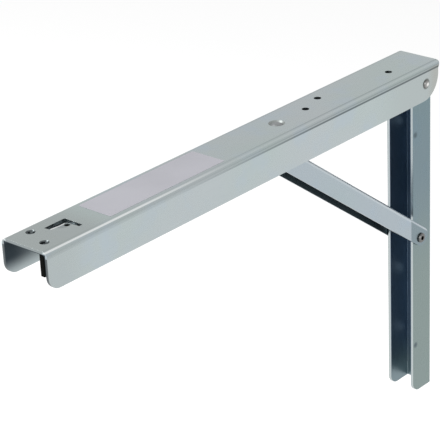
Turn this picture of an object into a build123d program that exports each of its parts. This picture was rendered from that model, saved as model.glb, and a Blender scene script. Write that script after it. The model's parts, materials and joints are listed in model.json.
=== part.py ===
from build123d import *
import os
from math import acos, cos, degrees, radians, sin, sqrt

# Folding shelf bracket, in millimetres.
# X is the bracket's width, Y = 0 is the wall, the shelf arm reaches out along -Y, and +Z is up.
# Z = 0 is the face that carries the shelf.  The bracket is modelled open, ready for a shelf.

# ---- driving dimensions -------------------------------------------------
arm_length = 430.0
arm_width = 42.0
arm_depth = 27.7
arm_sheet = 2.5
arm_bend = 4.5                  # outer bend radius of the arm
arm_wall_gap = 0.6              # the arm's rear end stays this far off the wall
arm_nose = 13.0                 # rounding of the flanges at the free end

wall_width = 25.0
wall_depth = 25.4
wall_bottom = 288.5             # below the shelf face
wall_sheet = 2.5
wall_bend = 3.0
wall_foot_corner = 8.0

strut_width = 30.0
strut_depth = 16.3
strut_sheet = 2.0
strut_bend = 4.0
strut_back = 9.8                # from the strut's pivots to the outer face of its web
strut_angle = 36.8              # above the horizontal, bracket open
strut_tail = 8.5                # rounding of the flanges about the lower pivot
strut_head = 8.0                # rounding of the flanges about the upper pivot
strut_web_start = 19.5          # the web stops here, so the flanges straddle the wall channel

hinge_out = 19.7                # main hinge: distance from the wall
hinge_down = 13.9               # main hinge: distance below the shelf face
foot_out = 18.4                 # lower strut pivot: distance from the wall
foot_down = 147.7

rivet_shank = 6.0
running_fit = 0.1               # radial clearance where a piece turns on a rivet
side_fit = 0.25                 # clearance under a rivet head that turns

shelf_hole = 5.6
shelf_holes = [(-10.9, -413.5), (7.8, -419.2), (-0.4, -142.0), (-6.9, -119.6), (3.5, -44.9)]
wall_screw_hole = 6.5
wall_screw_drops = [58.0, 190.0, 245.0]
wall_head_corner = 4.0

hinge_dome = 6.0
dome_height = 2.4
foot_head = 4.0
foot_head_height = 1.5
foot_head_bevel = 0.7
foot_bore = 1.8
foot_bore_depth = 2.5
bush_radius = 5.5
bush_chamfer = 0.4

strut_corner = 7.6
strut_web_cut = 4.5             # how far down the flanges the ends of the web are cut away
strut_tail_cut = 40.0

glide_radius = 5.5
glide_width = 2.8
glide_chamfer = 0.5
pin_stub = 0.2                  # of the slide pin, outside each glide
pin_chamfer = 0.5

# catch plate and its rivet, under the arm's web
catch_rivet_y = -176.0
catch_shank = 4.0
catch_head_radius = 4.6
catch_head_bevel = 1.6
catch_tail_radius = 3.4
catch_tail_height = 1.0
rivet_below_face = 0.15
dimple_rim = 6.0
dimple_floor = 4.8
dimple_depth = 1.2
catch_sheet = 1.5
catch_half = 16.8
catch_back_y = -162.0
catch_front_y = -200.0
catch_corner = 3.0
lug_front_y = -189.3
lug_length = 5.0
lug_drop = 14.0
lug_round = 2.0
tab_width = 10.0
tab_length = 12.0
tab_overlap = 4.0
tab_sheet = 0.8

# window in the arm's web, its lowered tongue, and the lever that hangs from it
window_half = 7.3
window_front_y = -403.2
tongue_half = 4.8
tongue_drop = 1.2
tongue_root = 1.5
lever_pivot_y = -391.0
lever_shank = 4.4
lever_gap = 0.2
lever_sheet = 2.0
lever_boss = 6.0
lever_bend = 1.6
crank_arm = 9.0
crank_tip = 3.4
blade_outer = 16.2
blade_strip = 5.0
blade_back_y = -398.0
plate_front_y = -421.0
blade_front_y = -427.0
blade_bottom = -16.5
blade_taper = 4.0
grip_width = 4.8
grip_top = -3.0
grip_bottom = -18.4
grip_front_y = -429.6
grip_back_y = -404.0
grip_corner = 4.5
grip_round = 1.1
pivot_bore = 1.5
pivot_rim = 3.4
pivot_flange = 0.5
pivot_end = -9.8

spring_strip = 0.5
spring_height = 3.0
spring_radius = 3.6
spring_start = -90.0            # where the far leg leaves the bow
spring_wrap = 340.0
near_leg = 14.6
far_leg = 17.6

# push strip and its stud
strip_gap = 0.2
strip_sheet = 1.0
strip_width = 6.0
strip_back_y = -204.5
strip_front_y = -395.5
stud_radius = 1.5
stud_play = 0.35
stud_head = 2.4
stud_head_height = 0.8

# ---- places worked out from them ----------------------------------------
arm_inside = arm_width / 2 - arm_sheet
hinge = Vector(0, -hinge_out, -hinge_down)
foot = Vector(0, -foot_out, -foot_down)
slide_depth = hinge_out + hinge_down - foot_out     # so that the folded strut lies along the arm
strut_reach = (foot_down - slide_depth) / sin(radians(strut_angle))
slide_y = -foot_out - strut_reach * cos(radians(strut_angle))
slide = Vector(0, slide_y, -slide_depth)
wall_head = hinge_down - 9.5                        # top of the wall channel, below the shelf face
strip_x = -crank_arm

# planes whose local x runs outwards along the bracket and whose normal is +X
side = Plane(origin=(0, 0, 0), x_dir=(0, -1, 0), z_dir=(-1, 0, 0))
strut_side = Plane(
    origin=foot,
    x_dir=(0, -cos(radians(strut_angle)), sin(radians(strut_angle))),
    z_dir=(-1, 0, 0),
)


def save(piece, name):
    """Label a finished piece and write it as one STEP file."""
    piece.part.label = name
    export_step(piece.part, f"parts/{name}.step")


def channel_section(width, depth, sheet, bend):
    """U section, open towards -y, with its web's outer face on y = 0."""
    with BuildSketch() as section:
        with BuildLine():
            Polyline(
                (-width / 2, -depth),
                (-width / 2, 0),
                (width / 2, 0),
                (width / 2, -depth),
                (width / 2 - sheet, -depth),
                (width / 2 - sheet, -sheet),
                (-width / 2 + sheet, -sheet),
                (-width / 2 + sheet, -depth),
                close=True,
            )
        make_face()
        top = section.vertices().group_by(Axis.Y)
        fillet(top[-1], bend)
        inner = [v for v in section.vertices() if abs(v.Y + sheet) < 0.01]
        fillet(inner, bend - sheet)
    return section.sketch


os.makedirs("parts", exist_ok=True)

# ---- wall channel: a U rail that is screwed to the wall -------------------
with BuildPart() as wall_channel:
    with BuildSketch(Plane.XY.offset(-wall_bottom)):
        add(channel_section(wall_width, wall_depth, wall_sheet, wall_bend))
    extrude(amount=wall_bottom - wall_head)
    with BuildSketch(side) as wall_outline:
        with BuildLine():
            Polyline(
                (0, -wall_head),
                (wall_depth, -wall_head),
                (wall_depth, -wall_bottom),
                (0, -wall_bottom),
                close=True,
            )
        make_face()
        front = wall_outline.vertices().sort_by(lambda v: v.Y)[:2].sort_by(Axis.Z)
        fillet(front[0], wall_foot_corner)
        fillet(front[1], wall_head_corner)
    extrude(amount=wall_width, both=True, mode=Mode.INTERSECT)
    with BuildSketch(Plane.YZ):
        with Locations((hinge.Y, hinge.Z), (foot.Y, foot.Z)):
            Circle(rivet_shank / 2)
    extrude(amount=wall_width, both=True, mode=Mode.SUBTRACT)
    with BuildSketch(Plane.XZ):
        with Locations(*[(0, -drop) for drop in wall_screw_drops]):
            Circle(wall_screw_hole / 2)
    extrude(amount=2 * wall_sheet, both=True, mode=Mode.SUBTRACT)
save(wall_channel, "wall_channel")

# ---- shelf arm: the wide U rail under the shelf ---------------------------
rear_radius = hinge_out - arm_wall_gap
rear_toe = hinge_out - sqrt(rear_radius**2 - (arm_depth - hinge_down) ** 2)
with BuildPart() as shelf_arm:
    with BuildSketch(Plane(origin=(0, -arm_wall_gap, 0), x_dir=(1, 0, 0), z_dir=(0, -1, 0))):
        add(channel_section(arm_width, arm_depth, arm_sheet, arm_bend))
    extrude(amount=arm_length - arm_wall_gap)
    with BuildSketch(side) as arm_outline:
        with BuildLine():
            # the lower rear corner is rounded about the hinge, so that it clears the wall as it turns
            rear_edge = Line((arm_wall_gap, 0), (arm_wall_gap, -hinge_down))
            heel_angle = 180 + (90 - degrees(acos((arm_depth - hinge_down) / rear_radius)))
            heel_mid = (180 + heel_angle) / 2
            ThreePointArc(
                rear_edge @ 1,
                (
                    hinge_out + rear_radius * cos(radians(heel_mid)),
                    -hinge_down + rear_radius * sin(radians(heel_mid)),
                ),
                (rear_toe, -arm_depth),
            )
            Polyline(
                (rear_toe, -arm_depth),
                (arm_length, -arm_depth),
                (arm_length, 0),
                (arm_wall_gap, 0),
            )
        make_face()
        nose = arm_outline.vertices().sort_by(lambda v: v.Y)[:2].sort_by(Axis.Z)[0]
        fillet(nose, arm_nose)
    extrude(amount=arm_width, both=True, mode=Mode.INTERSECT)
    with BuildSketch(Plane.YZ):
        with Locations((hinge.Y, hinge.Z)):
            Circle(rivet_shank / 2 + running_fit)
    extrude(amount=arm_width, both=True, mode=Mode.SUBTRACT)
    # holes for the shelf's screws, and the hole of the catch rivet in its dimple
    with BuildSketch(Plane.XY):
        with Locations(*shelf_holes):
            Circle(shelf_hole / 2)
        with Locations((0, catch_rivet_y)):
            Circle(catch_shank / 2)
    extrude(amount=arm_sheet, both=True, mode=Mode.SUBTRACT)
    with Locations((0, catch_rivet_y, -dimple_depth / 2)):
        Cone(dimple_floor, dimple_rim, dimple_depth, mode=Mode.SUBTRACT)
    # window near the free end, with a lowered tongue that carries the lever's pivot
    with BuildSketch(Plane.XY):
        with BuildLine():
            window_front = Line((window_half, lever_pivot_y), (window_half, window_front_y))
            Line(window_front @ 1, (-window_half, window_front_y))
            Line((-window_half, window_front_y), (-window_half, lever_pivot_y))
            RadiusArc((-window_half, lever_pivot_y), (window_half, lever_pivot_y), window_half)
        make_face()
    extrude(amount=arm_sheet, both=True, mode=Mode.SUBTRACT)
    with BuildSketch(Plane.XY.offset(-tongue_drop)):
        with BuildLine():
            tongue_side = Line((tongue_half, lever_pivot_y), (tongue_half, window_front_y - tongue_root))
            Line(tongue_side @ 1, (-tongue_half, window_front_y - tongue_root))
            Line((-tongue_half, window_front_y - tongue_root), (-tongue_half, lever_pivot_y))
            RadiusArc((-tongue_half, lever_pivot_y), (tongue_half, lever_pivot_y), tongue_half)
        make_face()
    extrude(amount=-arm_sheet)
    with BuildSketch(Plane.XY):
        with Locations((0, lever_pivot_y)):
            Circle(lever_shank / 2)
    extrude(amount=-2 * arm_sheet, mode=Mode.SUBTRACT)
save(shelf_arm, "shelf_arm")

# ---- strut: a narrower U rail that straddles the wall channel -------------
with BuildPart() as strut:
    strut_end = Plane(
        origin=foot - strut_side.x_dir * strut_tail,
        x_dir=(1, 0, 0),
        z_dir=strut_side.x_dir,
    )
    with BuildSketch(strut_end.offset(0)):
        with Locations((0, strut_back)):
            add(channel_section(strut_width, strut_depth, strut_sheet, strut_bend))
    extrude(amount=strut_reach + strut_tail + strut_head)
    with BuildSketch(strut_side):
        with BuildLine():
            Polyline(
                (-strut_tail, strut_back),
                (strut_reach + strut_head, strut_back),
                (strut_reach + strut_head, strut_back - strut_depth),
                (-strut_tail, strut_back - strut_depth),
                close=True,
            )
        outline = make_face()
        fillet(outline.vertices(), strut_corner)
    extrude(amount=strut_width, both=True, mode=Mode.INTERSECT)
    # the web stops short of the wall channel and of the slide pin
    with BuildSketch(strut_side):
        with Locations((strut_web_start - strut_tail_cut / 2, strut_back)):
            Rectangle(strut_tail_cut, 2 * strut_web_cut)
        with Locations((strut_reach + strut_head, strut_back)):
            Rectangle(2 * strut_head, 2 * strut_web_cut)
    extrude(amount=strut_width / 2 - strut_sheet, both=True, mode=Mode.SUBTRACT)
    with BuildSketch(Plane.YZ):
        with Locations((foot.Y, foot.Z)):
            Circle(rivet_shank / 2 + running_fit)
        with Locations((slide.Y, slide.Z)):
            Circle(rivet_shank / 2)
    extrude(amount=strut_width, both=True, mode=Mode.SUBTRACT)
save(strut, "strut")


# ---- hinge rivet: plain shank, domed head outside each flange of the arm ---
with BuildPart() as hinge_rivet:
    head_seat = arm_width / 2 + side_fit
    with BuildSketch(Plane(origin=hinge, x_dir=(1, 0, 0), z_dir=(0, 0, 1))):
        with BuildLine():
            Polyline((0, 0), (0, rivet_shank / 2), (head_seat, rivet_shank / 2), (head_seat, hinge_dome))
            crown = RadiusArc(
                (head_seat, hinge_dome),
                (head_seat + dome_height, 0),
                (hinge_dome**2 + dome_height**2) / (2 * dome_height),
            )
            Line(crown @ 1, (0, 0))
        make_face()
    revolve(axis=Axis(hinge, (1, 0, 0)))
    mirror(about=Plane.YZ)
save(hinge_rivet, "hinge_rivet")

# ---- foot rivet: flat heads with a drilled centre, outside the strut -------
with BuildPart() as foot_rivet:
    foot_seat = strut_width / 2 + side_fit
    foot_face = foot_seat + foot_head_height
    with BuildSketch(Plane(origin=foot, x_dir=(1, 0, 0), z_dir=(0, 0, 1))):
        with BuildLine():
            Polyline(
                (0, 0),
                (0, rivet_shank / 2),
                (foot_seat, rivet_shank / 2),
                (foot_seat, foot_head),
                (foot_face - foot_head_bevel, foot_head),
                (foot_face, foot_head - foot_head_bevel),
                (foot_face, foot_bore),
                (foot_face - foot_bore_depth, foot_bore),
                (foot_face - foot_bore_depth, 0),
                close=True,
            )
        make_face()
    revolve(axis=Axis(foot, (1, 0, 0)))
    mirror(about=Plane.YZ)
save(foot_rivet, "foot_rivet")

# ---- spacers that keep the arm centred on the wall channel ----------------
bush_length = arm_inside - wall_width / 2 - side_fit
for name, sign in (("hinge_bush_near", 1), ("hinge_bush_far", -1)):
    with BuildPart() as bush:
        with BuildSketch(Plane.YZ.offset(sign * wall_width / 2)):
            with Locations((hinge.Y, hinge.Z)):
                Circle(bush_radius)
                Circle(rivet_shank / 2, mode=Mode.SUBTRACT)
        extrude(amount=sign * bush_length)
        chamfer(bush.edges().filter_by(GeomType.CIRCLE).group_by(SortBy.RADIUS)[-1], bush_chamfer)
    save(bush, name)

# ---- slide pin at the strut's upper end, with a plastic glide on each side --
pin_half = strut_width / 2 + glide_width + pin_stub
with BuildPart() as slide_pin:
    with BuildSketch(Plane.YZ):
        with Locations((slide.Y, slide.Z)):
            Circle(rivet_shank / 2)
    extrude(amount=pin_half, both=True)
    chamfer(slide_pin.edges().filter_by(GeomType.CIRCLE), pin_chamfer)
save(slide_pin, "slide_pin")
for name, sign in (("glide_near", 1), ("glide_far", -1)):
    with BuildPart() as glide:
        with BuildSketch(Plane.YZ.offset(sign * strut_width / 2)):
            with Locations((slide.Y, slide.Z)):
                Circle(glide_radius)
                Circle(rivet_shank / 2, mode=Mode.SUBTRACT)
        extrude(amount=sign * glide_width)
        chamfer(glide.edges().filter_by(GeomType.CIRCLE).group_by(SortBy.RADIUS)[-1], glide_chamfer)
    save(glide, name)

# ---- catch plate under the arm's web, with two lugs that stop the glides ---
with BuildPart() as catch_plate:
    plate_top = -arm_sheet
    with BuildSketch(Plane.XY.offset(plate_top)):
        with BuildLine():
            Polyline(
                (catch_half, catch_back_y),
                (catch_half, catch_front_y),
                (-catch_half, catch_front_y),
                (-catch_half, catch_back_y),
                close=True,
            )
        plate = make_face()
        fillet(plate.vertices(), catch_corner)
    extrude(amount=-catch_sheet)
    for sign in (1, -1):
        with Locations(
            (sign * (catch_half - catch_sheet / 2), lug_front_y + lug_length / 2, plate_top - catch_sheet)
        ):
            Box(catch_sheet, lug_length, lug_drop, align=(Align.CENTER, Align.CENTER, Align.MAX))
    lug_tips = catch_plate.edges().filter_by(Axis.X).group_by(Axis.Z)[0]
    fillet(lug_tips, lug_round)
    # a joggled tab in front carries the push strip
    with Locations((strip_x, (catch_front_y + tab_overlap), plate_top - catch_sheet)):
        Box(
            tab_width,
            tab_length,
            tab_sheet,
            align=(Align.CENTER, Align.MAX, Align.MAX),
        )
    with BuildSketch(Plane.XY.offset(plate_top)):
        with Locations((0, catch_rivet_y)):
            Circle(catch_shank / 2)
    extrude(amount=-catch_sheet, mode=Mode.SUBTRACT)
save(catch_plate, "catch_plate")

with BuildPart() as catch_rivet:
    catch_tail = -arm_sheet - catch_sheet
    with BuildSketch(Plane.XZ.offset(-catch_rivet_y)):
        with BuildLine():
            Polyline(
                (0, -rivet_below_face),
                (0, catch_tail - catch_tail_height),
                (catch_tail_radius, catch_tail - catch_tail_height),
                (catch_tail_radius, catch_tail),
                (catch_shank / 2, catch_tail),
                (catch_shank / 2, -dimple_depth),
                (catch_head_radius, -dimple_depth),
                (catch_head_radius - catch_head_bevel, -rivet_below_face),
                close=True,
            )
        make_face()
    revolve(axis=Axis((0, catch_rivet_y, 0), (0, 0, 1)))
save(catch_rivet, "catch_rivet")

# ---- release lever: a bell crank under the tongue, with a blade bent down --
lever_top = -tongue_drop - arm_sheet - lever_gap
with BuildPart() as release_lever:
    with BuildSketch(Plane.XY.offset(lever_top)):
        with BuildSketch(mode=Mode.PRIVATE) as crank_edges:
            with Locations((0, lever_pivot_y)):
                Circle(lever_boss)
            with Locations((-crank_arm, lever_pivot_y)):
                Circle(crank_tip)
        make_hull(crank_edges.sketch.edges())
        with BuildSketch(mode=Mode.PRIVATE) as arm_edges:
            with Locations((0, lever_pivot_y)):
                Circle(lever_boss)
            with Locations((blade_outer - blade_strip / 2, (blade_back_y + plate_front_y) / 2)):
                Rectangle(blade_strip, blade_back_y - plate_front_y)
        make_hull(arm_edges.sketch.edges())
    extrude(amount=-lever_sheet)
    with BuildSketch(Plane.YZ.offset(blade_outer)):
        with BuildLine():
            Polyline(
                (blade_back_y, lever_top),
                (plate_front_y, lever_top),
                (plate_front_y, lever_top - lever_sheet),
                (blade_front_y, lever_top - lever_sheet),
                (blade_front_y, blade_bottom),
                (blade_back_y - blade_taper, blade_bottom),
                close=True,
            )
        make_face()
    extrude(amount=-lever_sheet)
    outer_bend = (
        release_lever.edges().filter_by(Axis.Y).group_by(Axis.X)[-1].group_by(Axis.Z)[-1]
    )
    fillet(outer_bend, lever_bend)
    with BuildSketch(Plane.XY.offset(lever_top)):
        with Locations((0, lever_pivot_y)):
            Circle(lever_shank / 2 + running_fit)
        with Locations((-crank_arm, lever_pivot_y)):
            Circle(stud_radius + stud_play)
    extrude(amount=-lever_sheet, mode=Mode.SUBTRACT)
save(release_lever, "release_lever")

# ---- plastic grip pushed over the blade ------------------------------------
with BuildPart() as lever_grip:
    with BuildSketch(Plane.YZ.offset(blade_outer - lever_sheet / 2)):
        with BuildLine():
            Polyline(
                (grip_back_y, lever_top - lever_sheet),
                (plate_front_y, lever_top - lever_sheet),
                (plate_front_y, grip_top),
                (grip_front_y, grip_top),
                (grip_front_y, grip_bottom),
                (grip_back_y, grip_bottom),
                close=True,
            )
        grip_face = make_face()
        lower_front = grip_face.vertices().group_by(Axis.Z)[0].sort_by(Axis.Y)[0]
        fillet(lower_front, grip_corner)
    extrude(amount=grip_width / 2, both=True)
    rims = lever_grip.edges().filter_by(Plane.YZ).group_by(Axis.X)
    fillet(rims[0] + rims[-1], grip_round)
    add(release_lever.part, mode=Mode.SUBTRACT)
save(lever_grip, "lever_grip")

# ---- hollow rivet that the lever turns on -----------------------------------
with BuildPart() as lever_pivot:
    with BuildSketch(Plane.XZ.offset(-lever_pivot_y)):
        with BuildLine():
            Polyline(
                (pivot_bore, -tongue_drop + pivot_flange),
                (pivot_rim, -tongue_drop + pivot_flange),
                (pivot_rim, -tongue_drop),
                (lever_shank / 2, -tongue_drop),
                (lever_shank / 2, pivot_end + pivot_flange),
                (pivot_rim - 0.6, pivot_end + pivot_flange),
                (pivot_rim - 0.6, pivot_end),
                (pivot_bore, pivot_end),
                close=True,
            )
        make_face()
    revolve(axis=Axis((0, lever_pivot_y, 0), (0, 0, 1)))
save(lever_pivot, "lever_pivot")

# ---- return spring: a flat hairpin round the pivot ---------------------------
# one leg bears on the blade, the other on the inside of the arm's far flange
with BuildPart() as lever_spring:
    spring_top = lever_top - lever_sheet - lever_gap
    with BuildSketch(Plane.XY.offset(spring_top)):
        with BuildLine() as hairpin:
            bow = CenterArc((0, lever_pivot_y), spring_radius, spring_start, spring_wrap)
            Line(bow @ 0, bow @ 0 - (bow % 0) * far_leg)
            Line(bow @ 1, bow @ 1 + (bow % 1) * near_leg)
        trace(line_width=spring_strip)
    extrude(amount=-spring_height)
save(lever_spring, "lever_spring")

# ---- push strip between the lever and the catch, and the stud that joins them --
strip_top = -arm_sheet - strip_gap
with BuildPart() as push_strip:
    with BuildSketch(Plane.XY.offset(strip_top)):
        with BuildLine():
            Polyline(
                (strip_x - strip_width / 2, strip_back_y),
                (strip_x + strip_width / 2, strip_back_y),
                (strip_x + strip_width / 2, strip_front_y),
                (strip_x - strip_width / 2, strip_front_y),
                close=True,
            )
        strip_face = make_face()
        fillet(strip_face.vertices(), strip_width / 2 - 0.5)
        with Locations((-crank_arm, lever_pivot_y)):
            Circle(stud_radius, mode=Mode.SUBTRACT)
    extrude(amount=-strip_sheet)
save(push_strip, "push_strip")
with BuildPart() as strip_stud:
    stud_shoulder = lever_top - lever_sheet - lever_gap
    with BuildSketch(Plane.XZ.offset(-lever_pivot_y)):
        with BuildLine():
            Polyline(
                (-crank_arm, strip_top),
                (-crank_arm + stud_radius, strip_top),
                (-crank_arm + stud_radius, stud_shoulder),
                (-crank_arm + stud_head, stud_shoulder),
                (-crank_arm + stud_head, stud_shoulder - stud_head_height),
                (-crank_arm, stud_shoulder - stud_head_height),
                close=True,
            )
        make_face()
    revolve(axis=Axis((-crank_arm, lever_pivot_y, 0), (0, 0, 1)))
save(strip_stud, "strip_stud")
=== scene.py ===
import json
import math

import bmesh
import bpy
from mathutils import Matrix, Vector


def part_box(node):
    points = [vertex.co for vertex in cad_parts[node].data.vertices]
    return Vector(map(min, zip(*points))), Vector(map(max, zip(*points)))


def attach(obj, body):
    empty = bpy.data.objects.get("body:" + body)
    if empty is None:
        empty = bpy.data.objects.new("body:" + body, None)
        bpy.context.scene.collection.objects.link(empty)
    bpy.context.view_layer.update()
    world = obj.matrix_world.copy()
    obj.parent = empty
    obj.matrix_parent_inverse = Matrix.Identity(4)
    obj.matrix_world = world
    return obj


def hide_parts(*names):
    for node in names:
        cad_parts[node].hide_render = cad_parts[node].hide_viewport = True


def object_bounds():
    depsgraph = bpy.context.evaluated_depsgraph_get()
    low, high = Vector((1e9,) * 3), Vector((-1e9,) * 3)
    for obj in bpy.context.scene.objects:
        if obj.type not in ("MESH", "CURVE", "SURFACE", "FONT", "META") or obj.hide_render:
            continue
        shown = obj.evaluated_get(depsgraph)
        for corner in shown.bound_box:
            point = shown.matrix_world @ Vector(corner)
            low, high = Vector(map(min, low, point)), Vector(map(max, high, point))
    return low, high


bl_info = {
    "name": "Folding shelf bracket",
    "version": (1, 0, 0),
    "blender": (4, 5, 0),
    "location": "View3D > Sidebar > Bracket",
    "description": "Zinc finish, punched details and studio for a folding shelf bracket",
    "category": "Object",
}

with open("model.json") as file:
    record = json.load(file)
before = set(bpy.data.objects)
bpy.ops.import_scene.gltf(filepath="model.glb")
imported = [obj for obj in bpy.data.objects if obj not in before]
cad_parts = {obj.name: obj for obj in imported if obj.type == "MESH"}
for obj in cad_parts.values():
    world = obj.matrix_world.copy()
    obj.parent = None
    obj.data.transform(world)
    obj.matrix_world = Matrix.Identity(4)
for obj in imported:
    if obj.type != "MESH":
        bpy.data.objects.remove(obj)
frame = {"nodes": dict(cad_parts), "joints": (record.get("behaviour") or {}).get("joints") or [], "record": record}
NODES = frame["nodes"]
JOINTS = {joint["name"]: joint for joint in frame["joints"]}
MOUNTS = {mount["name"]: mount for mount in frame["record"]["mounts"]}
CAD_LOW, CAD_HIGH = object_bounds()
MM = 0.001


def middle_of(name):
    """Centre of the box round a CAD node."""
    return sum(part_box(name), Vector()) / 2


# places on the object, from the frame
ARM_LOW, ARM_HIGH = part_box("shelf_arm")
WALL_LOW, WALL_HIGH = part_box("wall_channel")
STRUT_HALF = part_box("strut")[1].x
FOOT = Vector(JOINTS["strut_swing"]["pos_m"])
HINGE = Vector(JOINTS["arm_fold"]["pos_m"])
PIVOT = middle_of("lever_pivot")
CATCH = middle_of("catch_rivet")
STRUT_LINE = (middle_of("slide_pin") - FOOT).normalized()
STRUT_UP = STRUT_LINE.cross(Vector((1, 0, 0)))

# sheet of the rails
SHEET = 2.5 * MM
BEND = 4.5 * MM                 # outer radius of the arm's bends
STRUT_SHEET = 2.0 * MM
WALL_MARK_LINE = -22.3 * MM     # y of the dark marks on the wall rail
WALL_MARK_HEIGHTS = (-58 * MM, -245 * MM)
STRUT_BACK = 9.8 * MM           # of the strut's web, above the line through its two pins
STRUT_SET = -31.2 * MM          # y where the strut's flanges are set
BEND_SUPPORT = 0.4 * MM         # from a bend to the edge that supports its shading
BROKEN_EDGE = 0.22 * MM

# the tongue and the slot round it
TONGUE_SIDE = PIVOT.x - 3.5 * MM
TONGUE_FRONT = PIVOT.y - 13.1 * MM
TONGUE_REAR = PIVOT.y + 2.6 * MM
SLOT_REAR = PIVOT.y + 5.7 * MM
SLOT_PAST = 0.6 * MM            # how far the slot runs past the window
TONGUE_CORNER = 1.2 * MM
TONGUE_DROP = 0.5 * MM
TONGUE_FADE_ACROSS = 11.0 * MM
TONGUE_FADE_ALONG = 10.0 * MM

# bores and the dimple in the arm, and what cuts them
HINGE_BORE = 3.1 * MM
PIVOT_BORE = 2.3 * MM
CATCH_BORE = 2.0 * MM
DIMPLE_RIM = 6.0 * MM
DIMPLE_FLOOR = 4.8 * MM
DIMPLE_DEPTH = 1.2 * MM
CUTTER = 6 * MM                 # half the length of a cutter
MOUTH_DEPTH = 2 * MM
MOUTH_FLARE = 0.75 * MM
FRONT_HOLES = ARM_LOW.y + 30 * MM

# heads of the hinge rivet
SNAP_HEAD = 3.4 * MM
SNAP_RISE = 1.8 * MM
SNAP_SHANK = 3.0 * MM

# how much finer the streaks of the plate are along x, y and z
WALL_STREAKS = (7.0, 7.0, 0.35)
STRUT_STREAKS = (7.0, 1.2, 1.6)
ARM_STREAKS = (7.0, 0.35, 7.0)

# azimuth, elevation and roll of the camera, in degrees, and what it looks at
CAMERA_ANGLES = (42.06, 24.57, -2.66)
CAMERA_AIM = Vector((-0.0145, -0.226, -0.0625))
CAMERA_AWAY = 1.43
CAMERA_LENS = 161.2

SHELF_HOLES = [
    Vector((*mount["pos_m"][:2], 0))
    for name, mount in MOUNTS.items()
    if name.startswith("shelf_screw_")
]

# where the free end of the folded arm comes to
FOLDED_LOW = HINGE.z - (HINGE.y - ARM_LOW.y) - 2 * MM


# ---------------------------------------------------------------- shader maths


class Shade:
    """A shader socket that can be added, subtracted, multiplied and divided."""

    def __init__(self, finish, socket):
        self.finish = finish
        self.socket = socket

    def _math(self, operation, first, second):
        """One maths node on two values."""
        return self.finish.node("ShaderNodeMath", {"operation": operation}, {0: first, 1: second})

    def __add__(self, other):
        return self._math("ADD", self, other)

    def __mul__(self, other):
        return self._math("MULTIPLY", self, other)

    def __sub__(self, other):
        return self._math("SUBTRACT", self, other)

    def __truediv__(self, other):
        return self._math("DIVIDE", self, other)

    def __abs__(self):
        return self._math("ABSOLUTE", self, 0.0)

    def ramp(self, start, end):
        """0 at start, 1 at end, smooth between."""
        return self.finish.node(
            "ShaderNodeMapRange",
            {"interpolation_type": "SMOOTHSTEP"},
            {"Value": self, "From Min": start, "From Max": end},
        )


class Finish:
    """A procedural material, built from nodes on Object coordinates."""

    def __init__(self, name, slot_metal=1.0, **sockets):
        self.material = bpy.data.materials.new(name)
        self.material.use_nodes = True
        self.tree = self.material.node_tree
        self.tree.nodes.clear()
        self.shader = self.tree.nodes.new("ShaderNodeBsdfPrincipled")
        output = self.tree.nodes.new("ShaderNodeOutputMaterial")
        self.tree.links.new(self.shader.outputs["BSDF"], output.inputs["Surface"])
        self.shader.inputs["Metallic"].default_value = slot_metal
        for socket, value in sockets.items():
            self.shader.inputs[socket.replace("_", " ").title()].default_value = value
        coordinates = self.tree.nodes.new("ShaderNodeTexCoord")
        self.place = Shade(self, coordinates.outputs["Object"])
        axes = self.tree.nodes.new("ShaderNodeSeparateXYZ")
        self.tree.links.new(self.place.socket, axes.inputs["Vector"])
        self.x, self.y, self.z = (Shade(self, axes.outputs[axis]) for axis in "XYZ")

    def node(self, kind, settings, values, output=0):
        """One node: its settings first, then the values or links of its sockets."""
        made = self.tree.nodes.new(kind)
        for key, value in settings.items():
            if key == "stops":
                stops = made.color_ramp.elements
                while len(stops) < len(value):
                    stops.new(0.5)
                for stop, (position, colour) in zip(stops, value):
                    stop.position = position
                    stop.color = (*colour, 1)
            else:
                setattr(made, key, value)
        for key, value in values.items():
            if isinstance(value, Shade):
                self.tree.links.new(value.socket, made.inputs[key])
            else:
                made.inputs[key].default_value = value
        return Shade(self, made.outputs[output])

    def noise(self, scale, detail=3.0, stretch=(1, 1, 1), roughness=0.5):
        """Fractal noise from 0 to 1, finer along the axes with a larger stretch."""
        mapped = self.node("ShaderNodeMapping", {}, {"Vector": self.place, "Scale": stretch})
        return self.node(
            "ShaderNodeTexNoise",
            {"noise_dimensions": "3D"},
            {"Vector": mapped, "Scale": scale, "Detail": detail, "Roughness": roughness},
        )

    def mix(self, mask, first, second, blend="MIX"):
        """Colour first where mask is 0, second where it is 1."""
        return self.node(
            "ShaderNodeMix",
            {"data_type": "RGBA", "blend_type": blend},
            {0: mask, 6: self._colour(first), 7: self._colour(second)},
            output=2,
        )

    @staticmethod
    def _colour(value):
        """A colour for a socket, with its alpha."""
        return value if isinstance(value, Shade) else (*value[:3], 1)

    def dot(self, direction, origin):
        """Distance of the surface point from origin along a direction."""
        offset = self.node(
            "ShaderNodeVectorMath", {"operation": "SUBTRACT"}, {0: self.place, 1: tuple(origin)}
        )
        return self.node(
            "ShaderNodeVectorMath",
            {"operation": "DOT_PRODUCT"},
            {0: offset, 1: tuple(direction)},
            output=1,
        )

    def distance(self, point):
        """Distance of the surface point from a point."""
        return self.node(
            "ShaderNodeVectorMath", {"operation": "DISTANCE"}, {0: self.place, 1: point}, output=1
        )

    def feed(self, socket, value):
        """Link a value to a socket of the material's shader."""
        self.tree.links.new(value.socket, self.shader.inputs[socket])

    def bump(self, height, depth, strength=1.0):
        """Relief of a depth in metres, where height runs from 0 to 1."""
        self.feed(
            "Normal",
            self.node(
                "ShaderNodeBump", {}, {"Height": height, "Distance": depth, "Strength": strength}
            ),
        )


def dress(finish, *names):
    """Give CAD nodes a finish."""
    for name in names:
        slots = NODES[name].material_slots
        if not slots:
            NODES[name].data.materials.append(finish.material)
        for slot in slots:
            slot.material = finish.material


# ---------------------------------------------------------------- mesh helpers


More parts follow.
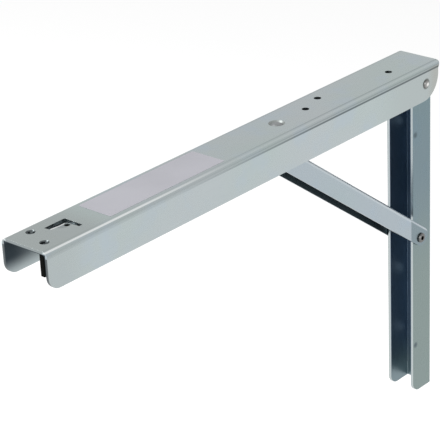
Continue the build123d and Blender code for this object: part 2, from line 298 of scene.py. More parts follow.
def turned_ring(mesh, centre, axis, profile, steps=48):
    """Spin a closed profile of (radius, height) points round an axis through centre."""
    turn = axis.to_track_quat("Z", "Y").to_matrix().to_4x4()
    place = Matrix.Translation(centre) @ turn
    points = [mesh.verts.new(place @ Vector((radius, 0, height))) for radius, height in profile]
    edges = [mesh.edges.new((a, b)) for a, b in zip(points, points[1:] + points[:1])]
    bmesh.ops.spin(
        mesh,
        geom=points + edges,
        cent=centre,
        axis=axis,
        angle=math.tau,
        steps=steps,
        use_merge=True,
    )


def as_object(name, mesh):
    """A plain object from a bmesh: doubles merged, no bare edges, faces turned outwards."""
    bmesh.ops.remove_doubles(mesh, verts=mesh.verts, dist=1e-7)
    bare = [edge for edge in mesh.edges if not edge.link_faces]
    bmesh.ops.delete(mesh, geom=bare, context="EDGES")
    bmesh.ops.recalc_face_normals(mesh, faces=mesh.faces)
    data = bpy.data.meshes.new(name)
    mesh.to_mesh(data)
    mesh.free()
    thing = bpy.data.objects.new(name, data)
    bpy.context.scene.collection.objects.link(thing)
    return thing


def harden(thing):
    """Swap an object's modifiers for the mesh that they make."""
    bpy.context.view_layer.update()
    graph = bpy.context.evaluated_depsgraph_get()
    made = bpy.data.meshes.new_from_object(thing.evaluated_get(graph))
    old = thing.data
    thing.modifiers.clear()
    thing.data = made
    bpy.data.meshes.remove(old)


def carve(thing, cutter, operation="DIFFERENCE"):
    """Cut an object with the shape of a bmesh, or keep only what lies in it."""
    tool = as_object("cutter", cutter)
    cut = thing.modifiers.new("cut", "BOOLEAN")
    cut.operation = operation
    cut.solver = "EXACT"
    cut.object = tool
    harden(thing)
    shape = tool.data
    bpy.data.objects.remove(tool)
    bpy.data.meshes.remove(shape)


def arc(middle, radius, start, end, steps=10):
    """Points on an arc in a plane, angles in degrees."""
    turns = (math.radians(start + (end - start) * step / steps) for step in range(steps + 1))
    return [
        (middle[0] + radius * math.cos(turn), middle[1] + radius * math.sin(turn))
        for turn in turns
    ]


def prism(mesh, outline, place):
    """Extrude a flat outline: place turns its two coordinates and an end (0 or 1) into a point."""
    rim = [mesh.verts.new(place(a, b, 0)) for a, b in outline]
    face = mesh.faces.new(rim)
    far = bmesh.ops.extrude_face_region(mesh, geom=[face])
    across = place(*outline[0], 1) - place(*outline[0], 0)
    moved = [item for item in far["geom"] if isinstance(item, bmesh.types.BMVert)]
    bmesh.ops.translate(mesh, verts=moved, vec=across)


def drill(mesh, centre, axis, radius, length, flare=0.0, steps=48):
    """A cylinder through centre, or a cone that widens by flare each way, to cut a bore with."""
    turn = Vector(axis).to_track_quat("Z", "Y").to_matrix().to_4x4()
    bmesh.ops.create_cone(
        mesh,
        cap_ends=True,
        segments=steps,
        radius1=radius - flare,
        radius2=radius + flare,
        depth=length,
        matrix=Matrix.Translation(centre) @ turn,
    )


def break_edges(thing, size):
    """Chamfer every sharp edge of a piece a little, as a tumbled stamping has."""
    mesh = bmesh.new()
    mesh.from_mesh(thing.data)
    bmesh.ops.remove_doubles(mesh, verts=mesh.verts, dist=0.01 * MM)
    bmesh.ops.dissolve_degenerate(mesh, edges=mesh.edges, dist=0.01 * MM)
    sharp = [
        edge
        for edge in mesh.edges
        if len(edge.link_faces) == 2 and edge.calc_face_angle(0) > math.radians(40)
    ]
    bmesh.ops.bevel(
        mesh,
        geom=sharp,
        offset=size,
        segments=1,
        affect="EDGES",
        profile=0.5,
        material=-1,
        clamp_overlap=True,
    )
    mesh.to_mesh(thing.data)
    mesh.free()


def finish_piece(thing, finish, body, angle=30.0):
    """Material, shading, body and slot of a finished piece."""
    thing.data.materials.clear()
    thing.data.materials.append(finish.material)
    for face in thing.data.polygons:
        face.use_smooth = True
    thing.data.set_sharp_from_angle(angle=math.radians(angle))
    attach(thing, body)
    return thing


def look():
    """The settings that a user can change."""
    return bpy.context.scene.bracket_look


# ---------------------------------------------------------------- finishes


def cast(tint, shift):
    """A tint with a colour cast over it."""
    return tuple(min(1.0, tone * change) for tone, change in zip(tint, shift))


def zinc_sheet(name, tint, along, *layers):
    """Bright zinc plate: cloudy tints and faint rolling streaks under the rail's own layers.

    along is the stretch of the streaks. Each layer is a function of the finish
    that returns a mask and the colour that shows there."""
    finish = Finish(name)
    cloud = finish.noise(9.0, 2.0)
    patches = finish.noise(34.0, 3.0, roughness=0.55)
    streak = finish.noise(60.0, 3.0, stretch=along, roughness=0.6)
    speck = finish.noise(520.0, 2.0)
    plate = finish.mix(cloud.ramp(0.35, 0.68), tint, cast(tint, look().green_cast))
    plate = finish.mix(patches.ramp(0.45, 0.7) * 0.7, plate, cast(tint, look().blue_cast))
    plate = finish.mix(streak.ramp(0.56, 0.75) * 0.06, plate, (0.72, 0.76, 0.78))
    plate = finish.mix(streak.ramp(0.45, 0.25) * 0.05, plate, (0.28, 0.31, 0.33))
    plate = finish.mix(speck.ramp(0.74, 0.84) * 0.06, plate, (0.26, 0.29, 0.30))
    rough = streak * 0.08 + patches * 0.14 + look().plate_roughness
    for layer in layers:
        mask, colour = layer(finish)
        plate = finish.mix(mask, plate, colour)
        if layer in DULL_LAYERS:
            rough = mask * 0.22 + rough
    finish.feed("Base Color", plate)
    finish.feed("Roughness", rough)
    finish.bump(streak * 0.3 + patches * 6.0, 0.01 * MM, 0.3)
    return finish


def between(value, low, high, soft):
    """1 where value lies between low and high, with soft shoulders."""
    return value.ramp(low - soft, low + soft) * value.ramp(high + soft, high - soft)


def outer_sides(finish, half):
    """1 on the outer faces of a rail's flanges."""
    return abs(finish.x).ramp(half - 0.5 * MM, half - 0.2 * MM)


def inner_faces(finish, half, height, web, fade=0.7 * MM):
    """1 on the inner faces of a rail: within half of its middle, and below its web."""
    sides = abs(finish.x).ramp(half + 0.9 * MM, half + 0.3 * MM)
    return sides * height.ramp(web + fade, web + 0.2 * MM)


def flange_edges(finish, half):
    """1 on the sheared edges of a rail's flanges, away from their corners."""
    return between(abs(finish.x), half - SHEET + 0.3 * MM, half - 0.3 * MM, 0.1 * MM)


def arm_inside_shade(finish):
    """Painted shade on the arm's inner faces, deepest in the corners and fading towards the flanges' edges; the
    plate there is rougher too.
    """
    inner = inner_faces(finish, ARM_HIGH.x - SHEET, finish.z, -SHEET)
    mouth = finish.y.ramp(ARM_LOW.y + 30 * MM, ARM_LOW.y + 5 * MM)
    deep = finish.z.ramp(-30 * MM, -15 * MM) * (mouth * 0.24 + 0.70)
    return inner * (deep + 0.06), look().arm_painted_shade


def arm_edges(finish):
    """Sheared edges of the arm's sheet."""
    half = ARM_HIGH.x
    flange = flange_edges(finish, half)
    web = between(finish.z, -SHEET + 0.3 * MM, -0.3 * MM, 0.1 * MM)
    middle = abs(finish.x).ramp(half - BEND + 0.3 * MM, half - BEND)
    low = finish.z.ramp(-BEND, -BEND - 0.4 * MM)
    return flange * low * 0.85 + web * middle * 0.4, (0.085, 0.095, 0.10)


def arm_bend_reflection_lines(finish):
    """Painted dark reflections along the bends, heavier towards the hinge."""
    half = ARM_HIGH.x
    outer = abs(finish.x).ramp(half - 1.6 * MM, half - 1.2 * MM)
    lower = outer * between(finish.z, -BEND - 0.3 * MM, -BEND + 1.0 * MM, 0.3 * MM)
    second = outer * between(finish.z, -2.6 * MM, -2.1 * MM, 0.2 * MM)
    top = finish.z.ramp(-0.4 * MM, -0.2 * MM)
    upper = top * between(abs(finish.x), half - BEND - 0.2 * MM, half - BEND + 0.9 * MM, 0.3 * MM)
    rear = finish.y.ramp(-0.33, -0.12)
    marks = lower * 0.8 + second * 0.3 + upper * 0.3
    return marks * (rear * 0.85 + 0.15), (0.07, 0.09, 0.10)


def hinge_ring_shade(finish):
    """Painted shade: a dark ring round the hinge rivet."""
    off = finish.distance(HINGE + Vector((ARM_HIGH.x, 0, 0)))
    return off.ramp(4.9 * MM, 3.7 * MM) * 0.75, (0.11, 0.12, 0.11)


def dimple_dull(finish):
    """The dimple round the catch rivet is darker and rougher."""
    off = finish.distance(Vector((0, CATCH.y, 0)))
    return off.ramp(DIMPLE_RIM + 0.6 * MM, DIMPLE_RIM - 0.2 * MM) * 0.95, (0.35, 0.375, 0.365)


def front_shade(finish):
    """Darker, greener plate on the top face, ahead of the label."""
    top = finish.z.ramp(-0.6 * MM, -0.2 * MM)
    ahead = finish.y.ramp(ARM_LOW.y + 66 * MM, ARM_LOW.y + 40 * MM)
    return top * ahead * 0.85, cast(look().arm_tint, (0.83, 0.835, 0.80))


def hole_wall_shade(finish):
    """Painted shade on the walls of the shelf holes."""
    near = 0.0
    for hole in SHELF_HOLES:
        near = finish.distance(hole).ramp(4.4 * MM, 3.9 * MM) + near
    return near * finish.z.ramp(-0.03 * MM, -0.15 * MM) * 0.9, (0.10, 0.115, 0.12)


def side_ends(finish):
    """Darker plate at both ends of the flanges' outer faces."""
    side = outer_sides(finish, ARM_HIGH.x)
    front = finish.y.ramp(ARM_LOW.y + 45 * MM, ARM_LOW.y + 10 * MM)
    rear = finish.y.ramp(-90 * MM, -40 * MM)
    return side * (front + rear) * 0.8, cast(look().arm_tint, (0.90, 0.91, 0.89))


def heel_warmth(finish):
    """Warmer plate on the flanges behind the hinge."""
    side = outer_sides(finish, ARM_HIGH.x)
    return finish.y.ramp(-20 * MM, -8 * MM) * side * 0.6, (0.43, 0.425, 0.39)


def tongue_lip_highlight(finish):
    """Painted highlight along the lip of the tongue's free side."""
    lip = between(finish.x, TONGUE_SIDE - 0.5 * MM, TONGUE_SIDE + 1.1 * MM, 0.2 * MM)
    along = between(finish.y, TONGUE_FRONT + 1 * MM, PIVOT.y + 0.5 * MM, 0.4 * MM)
    high = finish.z.ramp(-2.2 * MM, -1.9 * MM)
    return lip * along * high * 0.9, (0.95, 0.97, 0.97)


def arm_bend_highlight(finish):
    """Painted highlight along the middle of the bends, towards the free end."""
    half = ARM_HIGH.x
    middle = between(finish.z, -1.2 * MM, -0.4 * MM, 0.2 * MM)
    outer = abs(finish.x).ramp(half - 3.8 * MM, half - 3.2 * MM)
    front = finish.y.ramp(-0.24, -0.36)
    return middle * outer * (front * 0.75 + 0.15), (0.95, 0.98, 0.98)


def wall_inside_shade(finish):
    """Painted shade on the wall rail's inner faces: nearly blue-black, lighter at the foot; the plate there is
    rougher too.
    """
    inner = inner_faces(finish, WALL_HIGH.x - SHEET, finish.y, WALL_HIGH.y - SHEET)
    foot = finish.z.ramp(WALL_LOW.z + 8 * MM, WALL_LOW.z + 45 * MM)
    return inner * (foot * 0.55 + 0.4), look().wall_painted_shade


def wall_foot(finish):
    """The plate of the wall rail turns greener and warmer towards its lower end."""
    return finish.z.ramp(WALL_LOW.z + 0.20, WALL_LOW.z + 0.10), look().foot_tint


def wall_edges(finish):
    """Light sheared edges of the wall rail."""
    flange = flange_edges(finish, WALL_HIGH.x)
    return flange * finish.y.ramp(-3.5 * MM, -4 * MM) * 0.8, (0.62, 0.67, 0.68)


def wall_marks(finish):
    """Dark marks on the near face."""
    near = finish.x.ramp(WALL_HIGH.x - 0.5 * MM, WALL_HIGH.x - 0.2 * MM)
    marks = 0.0
    for height in WALL_MARK_HEIGHTS:
        spot = Vector((WALL_HIGH.x, WALL_MARK_LINE, height))
        marks = finish.distance(spot).ramp(3.6 * MM, 0.8 * MM) + marks
    return marks * near * 0.8, (0.08, 0.11, 0.13)


def strut_inside_shade(finish):
    """Painted shade on the strut's inner faces, all over; the plate there is rougher too."""
    height = finish.dot(STRUT_UP, FOOT)
    web = STRUT_BACK - STRUT_SHEET
    inner = inner_faces(finish, STRUT_HALF - STRUT_SHEET, height, web, 0.6 * MM)
    return inner, look().strut_painted_shade


def strut_toe_shade(finish):
    """Painted shade on the set end of the strut, where it runs beside the wall rail."""
    side = outer_sides(finish, STRUT_HALF)
    return finish.y.ramp(STRUT_SET, STRUT_SET + 1.0 * MM) * side * 0.95, (0.235, 0.30, 0.33)


def strut_bend_highlight(finish):
    """Painted highlight on the bends along the strut's back."""
    outer = abs(finish.x).ramp(STRUT_HALF - 4.2 * MM, STRUT_HALF - 3.8 * MM)
    high = finish.dot(STRUT_UP, FOOT).ramp(STRUT_BACK - 3.6 * MM, STRUT_BACK - 2.4 * MM)
    return outer * high * 0.3, (0.80, 0.85, 0.88)


def strut_set_shade_line(finish):
    """Painted shade: a dark line at the set in the strut's flanges."""
    line = between(finish.y, STRUT_SET - 0.2 * MM, STRUT_SET + 0.8 * MM, 0.3 * MM)
    return line * outer_sides(finish, STRUT_HALF) * 0.4, (0.16, 0.20, 0.22)


DULL_LAYERS = (arm_inside_shade, wall_inside_shade, strut_inside_shade, dimple_dull)


def small_steel(name, colour, roughness):
    """Plated rivets, pins and levers: fine turning marks and a mottled tone."""
    finish = Finish(name)
    mottle = finish.noise(160.0, 3.0, roughness=0.5)
    grain = finish.noise(2600.0, 2.0)
    dark = cast(colour, (0.8, 0.8, 0.8))
    bright = cast(colour, (1.15, 1.15, 1.15))
    tone = finish.mix(mottle.ramp(0.3, 0.6), dark, colour)
    tone = finish.mix(mottle.ramp(0.62, 0.8) * 0.6, tone, bright)
    finish.feed("Base Color", tone)
    finish.feed("Roughness", mottle * 0.2 + roughness)
    finish.bump(grain, 0.02 * MM, 0.6)
    return finish


def moulded(name, colour, roughness, grain_depth):
    """Moulded plastic with a fine spark-eroded grain and scuffed high spots."""
    finish = Finish(name, slot_metal=0.0)
    grain = finish.noise(1800.0, 3.0)
    scuff = finish.noise(260.0, 5.0, roughness=0.7)
    pale = tuple(channel * 0.9 + 0.008 for channel in colour)
    finish.feed("Base Color", finish.mix(scuff.ramp(0.58, 0.78) * 0.5, colour, pale))
    finish.feed("Roughness", scuff * 0.2 + roughness)
    finish.bump(grain, grain_depth, 0.7)
    return finish


def film(name, colour):
    """Satin label film with a faint cloudiness and a soft orange-peel surface."""
    finish = Finish(name, slot_metal=0.0)
    cloud = finish.noise(22.0, 3.0)
    peel = finish.noise(700.0, 2.0)
    dull = tuple(channel * 0.94 for channel in colour)
    finish.feed("Base Color", finish.mix(cloud.ramp(0.35, 0.7), colour, dull))
    finish.feed("Roughness", cloud * 0.12 + 0.38)
    finish.bump(peel, 0.01 * MM, 0.5)
    return finish


# ---------------------------------------------------------------- settings


def colour_property(name, description, default):
    return bpy.props.FloatVectorProperty(
        name=name, description=description, subtype="COLOR", size=3, min=0, max=1, default=default
    )


def cast_property(name, description, default):
    return bpy.props.FloatVectorProperty(
        name=name, description=description, size=3, min=0, max=2, default=default
    )


def length_property(name, description, default):
    return bpy.props.FloatProperty(
        name=name, description=description, unit="LENGTH", subtype="DISTANCE", default=default
    )


class BracketLook(bpy.types.PropertyGroup):
    """Colours and sizes that a user would change"""

    blue_cast: cast_property("Blue cast", "Cast of the bluer clouds", (0.95, 1.0, 1.07))
    green_cast: cast_property("Green cast", "Cast of the greener clouds", (0.95, 1.0, 0.96))
    arm_tint: colour_property("Arm tint", "Main tone of the shelf arm", (0.50, 0.55, 0.565))
    strut_tint: colour_property("Strut tint", "Main tone of the strut", (0.43, 0.492, 0.535))
    wall_tint: colour_property("Wall rail tint", "Main tone of the wall rail", (0.20, 0.27, 0.305))
    foot_tint: colour_property("Foot tint", "Tone low on the wall rail", (0.255, 0.32, 0.31))
    # the three inside colours below are painted shade in the rails' hollows
    wall_painted_shade: colour_property("Wall rail inside", "Dull plate in the rail", (0.17, 0.245, 0.33))
    arm_painted_shade: colour_property("Arm inside", "Dull plate inside the arm", (0.045, 0.062, 0.075))
    strut_painted_shade: colour_property("Strut inside", "Dull plate in the strut", (0.065, 0.095, 0.11))
    rivet_tint: colour_property("Rivets", "Tone of the rivets and pins", (0.44, 0.46, 0.48))
    label_tint: colour_property("Label", "Tone of the bare label film", (0.42, 0.42, 0.46))
    grip_tint: colour_property("Grip", "Tone of the lever's grip", (0.003, 0.0035, 0.003))
    glide_tint: colour_property("Glides", "Tone of the plastic glides", (0.62, 0.62, 0.58))
    plate_roughness: bpy.props.FloatProperty(
        name="Plate roughness",
        description="Roughness of the zinc plate",
        default=0.16,
        min=0,
        max=1,
    )
    nose_round: length_property("Nose", "Rounding of the arm's flanges at the free end", 9.5 * MM)
    heel_round: length_property("Heel", "Rounding of the flanges behind the hinge", 19.0 * MM)
    flange_setback: length_property("Setback", "Flanges end short of the web", 3.0 * MM)
    hole: length_property("Shelf holes", "Bores for the shelf's screws", 5.6 * MM)
    hole_mouth: length_property("Hole mouths", "Countersinks at the free end", 6.8 * MM)
    window_width: length_property("Window", "Width of the window round the tongue", 16.0 * MM)
    label_width: length_property("Label width", "Across the arm", 30.0 * MM)
    label_length: length_property("Label length", "Along the arm", 114.5 * MM)
    label_start: length_property("Label start", "From the free end", 64.5 * MM)
    label_film: length_property("Label film", "Thickness of the label", 0.12 * MM)


# ---------------------------------------------------------------- operators


class BRACKET_OT_rails(bpy.types.Operator):
    """Give the three rails their zinc plate"""

    bl_idname = "bracket.rails"
    bl_label = "Zinc rails"

    def execute(self, context):
        wall = zinc_sheet(
            "wall_zinc",
            look().wall_tint,
            WALL_STREAKS,
            wall_foot,
            wall_marks,
            wall_inside_shade,
            wall_edges,
        )
        dress(wall, "wall_channel")
        strut = zinc_sheet(
            "strut_zinc",
            look().strut_tint,
            STRUT_STREAKS,
            strut_bend_highlight,
            strut_toe_shade,
            strut_set_shade_line,
            strut_inside_shade,
        )
        dress(strut, "strut")
        return {"FINISHED"}


class BRACKET_OT_shelf_arm(bpy.types.Operator):
    """Make the shelf arm with its pressed tongue, countersunk dimple and broken edges"""

    bl_idname = "bracket.shelf_arm"
    bl_label = "Shelf arm"

    def execute(self, context):
        arm = self.folded_sheet()
        carve(arm, self.side_outline(), "INTERSECT")
        bores, mouths = bmesh.new(), bmesh.new()
        for hole in SHELF_HOLES:
            drill(bores, hole, (0, 0, 1), look().hole / 2, 2 * CUTTER)
            if hole.y < FRONT_HOLES:
                mouth = look().hole_mouth / 2
                drill(mouths, hole, (0, 0, 1), mouth, MOUTH_DEPTH, MOUTH_FLARE)
        drill(bores, HINGE, (1, 0, 0), HINGE_BORE, 10 * CUTTER)
        drill(bores, (PIVOT.x, PIVOT.y, 0), (0, 0, 1), PIVOT_BORE, 2 * CUTTER)
        carve(arm, bores)
        carve(arm, mouths)
        dimple = bmesh.new()
        turned_ring(
            dimple,
            Vector((0, CATCH.y, 0)),
            Vector((0, 0, 1)),
            [(0, 1 * MM), (DIMPLE_RIM + 0.6 * MM, 1 * MM), (DIMPLE_RIM, 0)]
            + [(DIMPLE_FLOOR, -DIMPLE_DEPTH), (CATCH_BORE, -DIMPLE_DEPTH)]
            + [(CATCH_BORE, -CUTTER), (0, -CUTTER)],
        )
        carve(arm, dimple)
        carve(arm, self.slot_round_tongue())
        self.press_tongue(arm)
        break_edges(arm, BROKEN_EDGE)
        zinc = zinc_sheet(
            "arm_zinc",
            look().arm_tint,
            ARM_STREAKS,
            front_shade,
            side_ends,
            heel_warmth,
            arm_bend_reflection_lines,
            arm_bend_highlight,
            arm_inside_shade,
            arm_edges,
            hole_wall_shade,
            dimple_dull,
            tongue_lip_highlight,
            hinge_ring_shade,
        )
        finish_piece(arm, zinc, "arm", 20.0)
        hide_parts("shelf_arm")
        dress(zinc, "shelf_arm")
        return {"FINISHED"}

    def folded_sheet(self):
        """The U of sheet, with a supporting edge on each side of its bends."""
        half, depth = ARM_HIGH.x, ARM_LOW.z
        side = [(half, depth), (half, -BEND - BEND_SUPPORT)]
        side += arc((half - BEND, -BEND), BEND, 0, 90, 12)
        side += [(half - BEND - BEND_SUPPORT, 0)]
        profile = side + [(-x, z) for x, z in reversed(side)]
        mesh = bmesh.new()
        points = [mesh.verts.new((x, ARM_LOW.y, z)) for x, z in profile]
        edges = [mesh.edges.new(pair) for pair in zip(points, points[1:])]
        made = bmesh.ops.extrude_edge_only(mesh, edges=edges)["geom"]
        moved = [item for item in made if isinstance(item, bmesh.types.BMVert)]
        bmesh.ops.translate(mesh, verts=moved, vec=(0, ARM_HIGH.y - ARM_LOW.y, 0))
        arm = as_object("shelf_arm_sheet", mesh)
        outward = sum(face.normal.z for face in arm.data.polygons)
        wall = arm.modifiers.new("sheet", "SOLIDIFY")
        wall.thickness = SHEET
        wall.offset = -1 if outward > 0 else 1
        wall.use_even_offset = True
        harden(arm)
        return arm

    def side_outline(self):
        """Side view of the arm: rounded nose, and a heel that clears the wall as it turns."""
        nose, heel = look().nose_round, look().heel_round
        low, front, rear = ARM_LOW.z, ARM_LOW.y, ARM_HIGH.y
        flange_rear = rear - look().flange_setback
        outline = arc((front + nose, low + nose), nose, 180, 270)
        outline += arc((flange_rear - heel, low + heel), heel, -90, 0, 16)
        outline += [(flange_rear, -5 * MM), (rear, -1 * MM), (rear, 2 * MM), (front, 2 * MM)]
        mesh = bmesh.new()
        reach = ARM_HIGH.x + 2 * MM
        prism(mesh, outline, lambda y, z, end: Vector((reach - 2 * reach * end, y, z)))
        return mesh

    def slot_round_tongue(self):
        """Slot along the far side and the rear of the tongue."""
        far, inner = -look().window_width / 2, TONGUE_SIDE
        near = look().window_width / 2 + SLOT_PAST
        corner = TONGUE_REAR - TONGUE_CORNER
        outline = [(far, TONGUE_FRONT), (inner, TONGUE_FRONT + 0.6 * MM), (inner, corner)]
        outline += [(inner + TONGUE_CORNER, TONGUE_REAR), (near, TONGUE_REAR)]
        outline += [(near, SLOT_REAR), (far, SLOT_REAR)]
        mesh = bmesh.new()
        prism(mesh, outline, lambda x, y, end: Vector((x, y, (end * 2 - 1) * CUTTER)))
        return mesh

    def press_tongue(self, arm):
        """Press the corner inside the slot down, so that it carries the lever.

        The web is cut into a fine grid there first, so that it bends smoothly."""
        mesh = bmesh.new()
        mesh.from_mesh(arm.data)
        low = Vector((TONGUE_SIDE, TONGUE_FRONT))
        high = Vector((look().window_width / 2 + SLOT_PAST, TONGUE_REAR))
        steps = 12
        for step in range(steps + 1):
            share = step / steps
            for axis in (0, 1):
                place = Vector((0, 0, 0))
                place[axis] = low[axis] + (high[axis] - low[axis]) * share
                normal = Vector((0, 0, 0))
                normal[axis] = 1
                faces = [
                    face
                    for face in mesh.faces
                    if face.calc_center_bounds().z > -BEND and abs(face.normal.z) > 0.9
                ]
                edges = {edge for face in faces for edge in face.edges}
                points = {vert for face in faces for vert in face.verts}
                bmesh.ops.bisect_plane(
                    mesh, geom=[*faces, *edges, *points], plane_co=place, plane_no=normal
                )
        slack = 0.01 * MM
        for vert in mesh.verts:
            inside = low.x - slack < vert.co.x < high.x and low.y < vert.co.y < high.y + slack
            if inside and vert.co.z > -BEND:
                near = min(1.0, max(0.0, (high.x - vert.co.x) / TONGUE_FADE_ACROSS))
                front = min(1.0, max(0.0, (vert.co.y - low.y) / TONGUE_FADE_ALONG))
                near, front = (share * share * (3 - 2 * share) for share in (near, front))
                vert.co.z -= TONGUE_DROP * near * front
        mesh.to_mesh(arm.data)
        mesh.free()


class BRACKET_OT_fasteners(bpy.types.Operator):
    """Give rivets, bushes and pins their plated steel"""

    bl_idname = "bracket.fasteners"
    bl_label = "Rivets and pins"

    def execute(self, context):
        bright = small_steel("rivet_steel", look().rivet_tint, 0.2)
        dress(bright, "hinge_rivet", "strip_stud")
        dull = cast(look().rivet_tint, (0.8, 0.8, 0.78))
        dress(small_steel("catch_rivet_steel", dull, 0.42), "catch_rivet")
        # the foot rivet's dark centre is painted shade in its hollow
        hollow_centre_shade = ((0, 0.03), (1.6, 0.03), (2.0, 0.22), (4.0, 0.17))
        dress(self.turned_steel("foot_rivet_steel", FOOT, hollow_centre_shade), "foot_rivet")
        dress(bright, "hinge_bush_near", "hinge_bush_far", "slide_pin")
        dress(self.hollow_rivet(), "lever_pivot")
        # painted light on the snap head: a highlight on its crown, shade towards its rim
        snap_head_light = ((0, 1.0), (0.9, 0.95), (1.7, 0.45), (2.5, 0.36), (3.1, 0.20), (3.6, 0.12))
        self.hinge_rivet(self.turned_steel("snap_head_steel", HINGE, snap_head_light))
        return {"FINISHED"}

    def turned_steel(self, name, centre, tones):
        """Steel whose painted light and shade run from the axis outwards: pairs of radius in mm and grey."""
        finish = Finish(name, Roughness=0.2)
        off_y, off_z = finish.y - centre.y, finish.z - centre.z
        square = off_y * off_y + off_z * off_z
        radius = finish.node("ShaderNodeMath", {"operation": "SQRT"}, {0: square})
        last = tones[-1][0]
        stops = [(r / last, (grey, grey, grey * 0.98)) for r, grey in tones]
        tone = finish.node(
            "ShaderNodeValToRGB", {"stops": stops}, {"Fac": radius / (last * MM)}
        )
        worn = finish.noise(400.0, 3.0).ramp(0.35, 0.7) * 0.25
        finish.feed("Base Color", finish.mix(worn, tone, (0.16, 0.155, 0.15)))
        finish.bump(finish.noise(1500.0, 2.0), 0.01 * MM, 0.4)
        return finish

    def hollow_rivet(self):
        """Zinc like the arm's, with painted shade in its bore."""
        finish = Finish("hollow_rivet_zinc", Roughness=0.3)
        off_x, off_y = finish.x - PIVOT.x, finish.y - PIVOT.y
        bore_shade = (off_x * off_x + off_y * off_y).ramp(PIVOT_BORE**2, (PIVOT_BORE - 0.4 * MM) ** 2)
        worn = finish.noise(300.0).ramp(0.3, 0.7)
        rim = finish.mix(worn, look().arm_tint, cast(look().arm_tint, (0.9, 0.93, 0.9)))
        finish.feed("Base Color", finish.mix(bore_shade, rim, (0.02, 0.025, 0.025)))
        return finish

    def hinge_rivet(self, finish):
        """Shank with a small snap head outside each flange of the arm."""
        seat = ARM_HIGH.x + 0.1 * MM
        sphere = (SNAP_HEAD**2 + SNAP_RISE**2) / (2 * SNAP_RISE)
        half = math.degrees(math.asin(SNAP_HEAD / sphere))
        crown = arc((0, seat + SNAP_RISE - sphere), sphere, 90 - half, 90, 8)
        sunk = seat - 0.3 * MM
        upper = [(SNAP_SHANK, sunk), (SNAP_HEAD, sunk), *crown]
        lower = [(radius, -height) for radius, height in reversed(upper)]
        mesh = bmesh.new()
        turned_ring(mesh, HINGE, Vector((1, 0, 0)), lower + upper)
        rivet = as_object("hinge_rivet_heads", mesh)
        finish_piece(rivet, finish, "wall_rail", 40.0)
        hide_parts("hinge_rivet")


class BRACKET_OT_release(bpy.types.Operator):
    """Give the release gear under the arm its finishes"""

    bl_idname = "bracket.release"
    bl_label = "Release gear"

    def execute(self, context):
        sheet = small_steel("release_steel", (0.38, 0.41, 0.43), 0.28)
        dress(sheet, "release_lever", "push_strip", "catch_plate")
        dress(small_steel("spring_steel", (0.3, 0.31, 0.33), 0.22), "lever_spring")
        grip = moulded("black_grip", look().grip_tint, 0.42, 0.03 * MM)
        grip.shader.inputs["Specular IOR Level"].default_value = 0.03
        dress(grip, "lever_grip")
        plastic = moulded("glide_plastic", look().glide_tint, 0.42, 0.02 * MM)
        dress(plastic, "glide_near", "glide_far")
        return {"FINISHED"}


class BRACKET_OT_label(bpy.types.Operator):
    """Stick the bare label on the shelf face"""

    bl_idname = "bracket.label"
    bl_label = "Bare label"

    def execute(self, context):
        chosen = look()
        mesh = bmesh.new()
        bmesh.ops.create_cube(mesh, size=1.0)
        middle = ARM_LOW.y + chosen.label_start + chosen.label_length / 2
        size = Vector((chosen.label_width, chosen.label_length, chosen.label_film))
        bmesh.ops.scale(mesh, vec=size, verts=mesh.verts)
        bmesh.ops.translate(mesh, vec=(0, middle, ARM_HIGH.z + size.z / 2), verts=mesh.verts)
        corners = [e for e in mesh.edges if abs((e.verts[0].co - e.verts[1].co).z) > size.z / 2]
        bmesh.ops.bevel(
            mesh,
            geom=corners,
            offset=1.2 * MM,
            segments=5,
            affect="EDGES",
            profile=0.5,
            material=-1,
        )
        label = as_object("bare_label", mesh)
        finish_piece(label, film("label_film", chosen.label_tint), "arm")
        return {"FINISHED"}


def stage_shader(tree, kind, **values):
    """Output of a new shader node, with values for its inputs."""
    made = tree.nodes.new(kind)
    for socket, value in values.items():
        made.inputs[socket].default_value = value
    return made.outputs[0]


def choose_shader(tree, factor, first, second):
    """The first shader where factor is 0, the second where it is 1."""
    mix = tree.nodes.new("ShaderNodeMixShader")
    for socket, value in zip(mix.inputs, (factor, first, second)):
        tree.links.new(value, socket)
    return mix.outputs[0]


def mirrored_rays(tree, rays):
    """1 for the rays that metal and glass send out."""
    either = tree.nodes.new("ShaderNodeMath")
    either.operation = "MAXIMUM"
    for socket, kind in zip(either.inputs, ("Is Glossy Ray", "Is Transmission Ray")):
        tree.links.new(rays.outputs[kind], socket)
    return either.outputs[0]


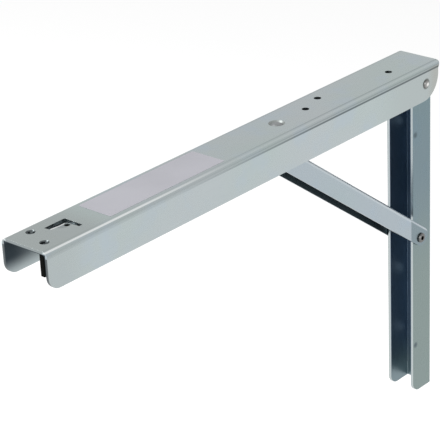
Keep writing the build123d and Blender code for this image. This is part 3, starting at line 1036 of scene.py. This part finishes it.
class BRACKET_OT_studio(bpy.types.Operator):
    """Floor, world, lamps and camera"""

    bl_idname = "bracket.studio"
    bl_label = "Studio"

    def execute(self, context):
        scene = bpy.context.scene
        scene.view_settings.view_transform = "Standard"
        self.floor()
        self.world(scene)
        middle = (CAD_LOW + CAD_HIGH) / 2
        self.lamp("key", middle + Vector((-0.9, -1.1, 1.5)), middle, size=1.2, power=22.0)
        self.lamp("fill", middle + Vector((1.6, -0.9, 0.7)), middle, size=1.4, power=8.0)
        self.camera(scene)
        return {"FINISHED"}

    def floor(self):
        """Pale floor under the folded arm's reach, a little brighter to the camera."""
        mesh = bmesh.new()
        bmesh.ops.create_grid(mesh, x_segments=1, y_segments=1, size=6.0)
        bmesh.ops.translate(mesh, vec=(0, 0, min(CAD_LOW.z, FOLDED_LOW)), verts=mesh.verts)
        data = bpy.data.meshes.new("floor")
        mesh.to_mesh(data)
        mesh.free()
        floor = bpy.data.objects.new("floor", data)
        bpy.context.scene.collection.objects.link(floor)
        material = bpy.data.materials.new("pale_floor")
        material.use_nodes = True
        tree = material.node_tree
        tree.nodes.clear()
        matt = stage_shader(tree, "ShaderNodeBsdfDiffuse", Color=(0.93, 0.93, 0.93, 1))
        lift = stage_shader(tree, "ShaderNodeEmission", Strength=0.2)
        white = stage_shader(tree, "ShaderNodeEmission")
        lifted = tree.nodes.new("ShaderNodeAddShader")
        tree.links.new(matt, lifted.inputs[0])
        tree.links.new(lift, lifted.inputs[1])
        rays = tree.nodes.new("ShaderNodeLightPath")
        seen = choose_shader(tree, rays.outputs["Is Camera Ray"], matt, lifted.outputs[0])
        shown = choose_shader(tree, mirrored_rays(tree, rays), seen, white)
        output = tree.nodes.new("ShaderNodeOutputMaterial")
        tree.links.new(shown, output.inputs["Surface"])
        data.materials.append(material)

    def world(self, scene):
        """Soft even light, which the camera sees as white."""
        world = bpy.data.worlds.new("studio_world")
        scene.world = world
        world.use_nodes = True
        tree = world.node_tree
        tree.nodes.clear()
        soft = stage_shader(tree, "ShaderNodeBackground", Strength=0.85)
        gloss = stage_shader(tree, "ShaderNodeBackground", Strength=0.96)
        white = stage_shader(tree, "ShaderNodeBackground", Color=(1, 1, 1, 1), Strength=1.0)
        rays = tree.nodes.new("ShaderNodeLightPath")
        lit = choose_shader(tree, mirrored_rays(tree, rays), soft, gloss)
        shown = choose_shader(tree, rays.outputs["Is Camera Ray"], lit, white)
        output = tree.nodes.new("ShaderNodeOutputWorld")
        tree.links.new(shown, output.inputs["Surface"])

    def lamp(self, name, place, target, size, power):
        """A round area lamp at place, turned to target."""
        data = bpy.data.lights.new(name, "AREA")
        data.shape = "DISK"
        data.size = size
        data.energy = power
        lamp = bpy.data.objects.new(name, data)
        lamp.location = place
        lamp.rotation_mode = "QUATERNION"
        lamp.rotation_quaternion = (target - place).to_track_quat("-Z", "Y")
        bpy.context.scene.collection.objects.link(lamp)

    def camera(self, scene):
        """Long lens, from above the near side of the free end."""
        azimuth, elevation, roll = (math.radians(angle) for angle in CAMERA_ANGLES)
        back = Vector(
            (
                math.sin(azimuth) * math.cos(elevation),
                -math.cos(azimuth) * math.cos(elevation),
                math.sin(elevation),
            )
        )
        level = Vector((math.cos(azimuth), math.sin(azimuth), 0))
        right = Matrix.Rotation(roll, 3, back) @ level
        up = back.cross(right)
        data = bpy.data.cameras.new("camera")
        data.sensor_width = 36.0
        data.lens = CAMERA_LENS
        data.clip_end = 50
        camera = bpy.data.objects.new("camera", data)
        scene.collection.objects.link(camera)
        turn = Matrix((right, up, back)).transposed()
        camera.matrix_world = Matrix.Translation(CAMERA_AIM + back * CAMERA_AWAY) @ turn.to_4x4()
        scene.camera = camera


class BRACKET_PT_panel(bpy.types.Panel):
    """Lists the steps that dress the bracket"""

    bl_idname = "BRACKET_PT_panel"
    bl_label = "Folding bracket"
    bl_space_type = "VIEW_3D"
    bl_region_type = "UI"
    bl_category = "Bracket"

    def draw(self, context):
        for step in STEPS:
            self.layout.operator(step.bl_idname)
        for name in BracketLook.__annotations__:
            self.layout.prop(look(), name)


STEPS = (
    BRACKET_OT_rails,
    BRACKET_OT_shelf_arm,
    BRACKET_OT_fasteners,
    BRACKET_OT_release,
    BRACKET_OT_label,
    BRACKET_OT_studio,
)
CLASSES = (BracketLook, *STEPS, BRACKET_PT_panel)


def register():
    for cls in CLASSES:
        bpy.utils.register_class(cls)
    bpy.types.Scene.bracket_look = bpy.props.PointerProperty(type=BracketLook)


def unregister():
    del bpy.types.Scene.bracket_look
    for cls in reversed(CLASSES):
        bpy.utils.unregister_class(cls)


def main():
    register()
    for step in STEPS:
        family, action = step.bl_idname.split(".")
        getattr(getattr(bpy.ops, family), action)()


if __name__ == "__main__":
    main()
